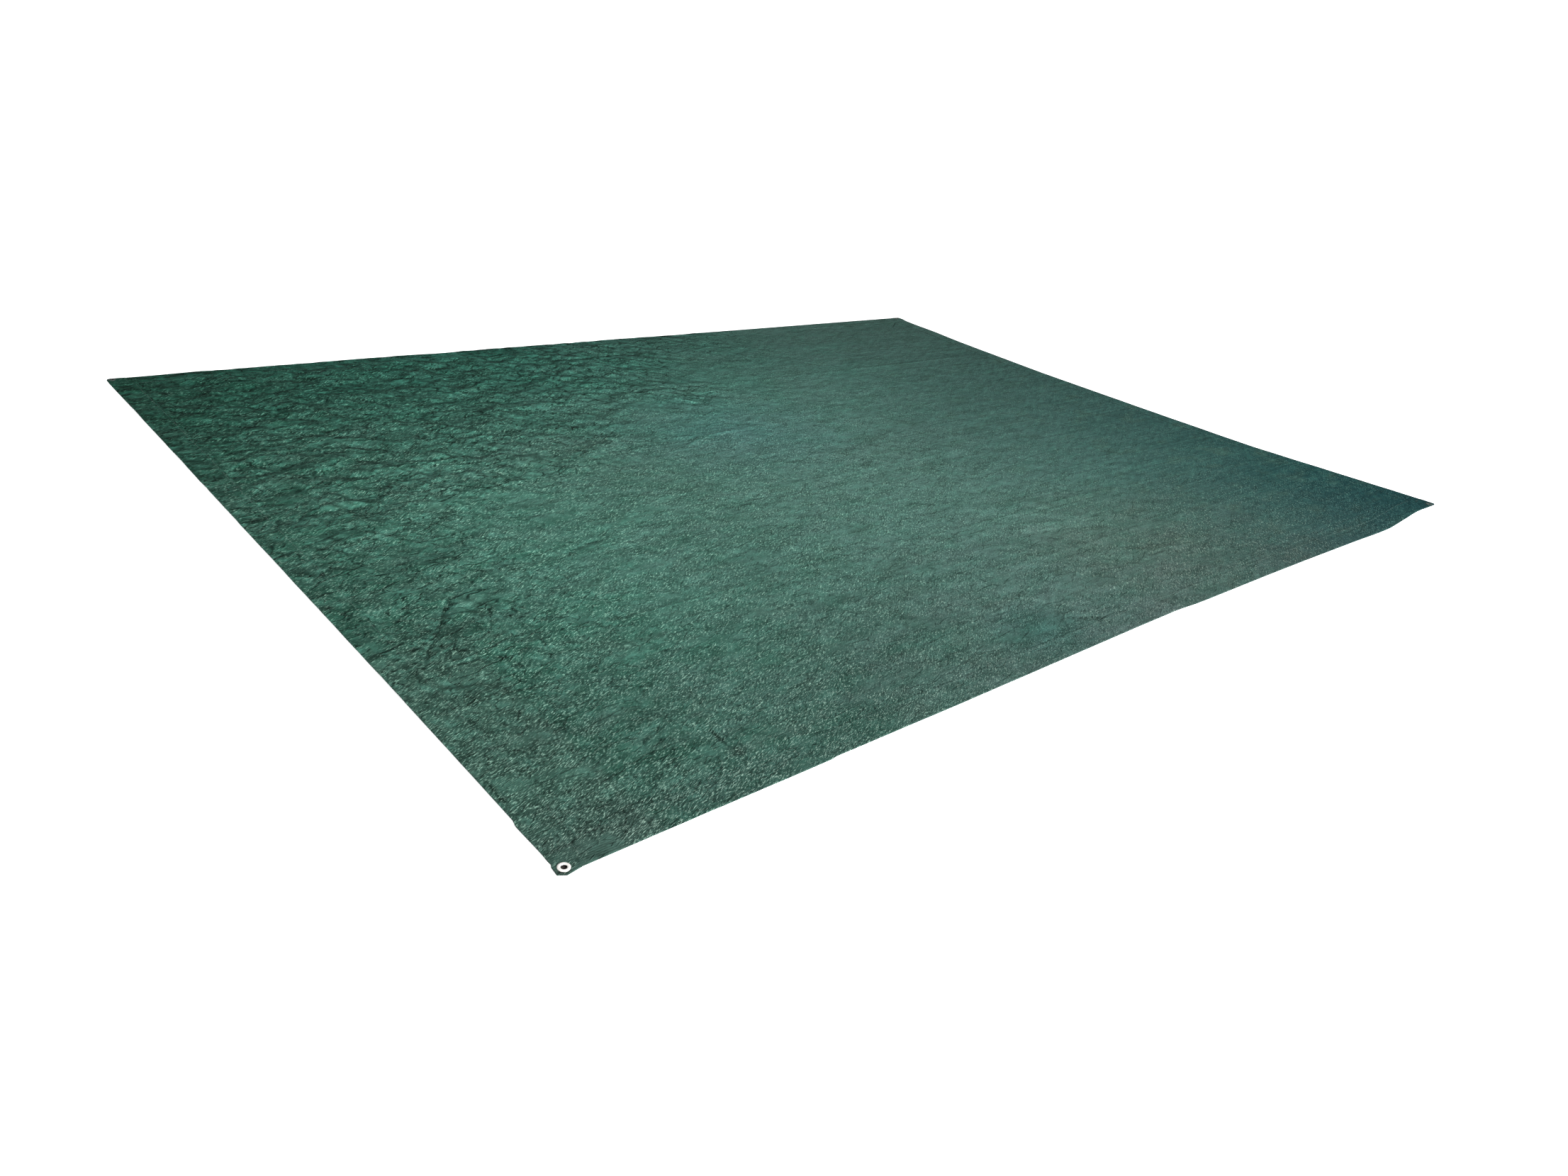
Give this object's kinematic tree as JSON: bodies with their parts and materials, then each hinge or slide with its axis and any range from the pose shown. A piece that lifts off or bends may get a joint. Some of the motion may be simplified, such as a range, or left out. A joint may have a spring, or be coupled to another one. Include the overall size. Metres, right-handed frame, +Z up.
{
  "type": "ground sheet",
  "caption": "Large flat rectangular sheet of woven green plastic cloth, with turned and sewn hems and a metal eyelet in a reinforced patch at each corner.",
  "frame": {"origin": "middle of the underside, on the ground", "axes": "+Z up, +X along the long edges, +Y towards the back edge"},
  "size_m": [4, 3, 0.0048],
  "materials": {
    "sheet_cloth": "woven polyethylene tape with a slight gloss",
    "hem_cloth": "the same cloth with its smoother reverse side up",
    "patch_cloth": "several layers of the same cloth",
    "thread": "twisted polyester thread",
    "eyelet_metal": "pressed, bright and lightly scuffed",
    "washer_metal": "pressed, dull"
  },
  "bodies": {
    "root": {"panel": "sheet_cloth", "hem_front": "hem_cloth", "hem_back": "hem_cloth", "hem_left": "hem_cloth", "hem_right": "hem_cloth", "seam_front": "thread", "seam_back": "thread", "seam_left": "thread", "seam_right": "thread", "patch_front_left": "patch_cloth", "patch_front_right": "patch_cloth", "patch_back_left": "patch_cloth", "patch_back_right": "patch_cloth", "patch_seam_front_left": "thread", "patch_seam_front_right": "thread", "patch_seam_back_left": "thread", "patch_seam_back_right": "thread", "eyelet_front_left": "eyelet_metal", "eyelet_front_right": "eyelet_metal", "eyelet_back_left": "eyelet_metal", "eyelet_back_right": "eyelet_metal", "washer_front_left": "washer_metal", "washer_front_right": "washer_metal", "washer_back_left": "washer_metal", "washer_back_right": "washer_metal"}
  },
  "joints": []
}
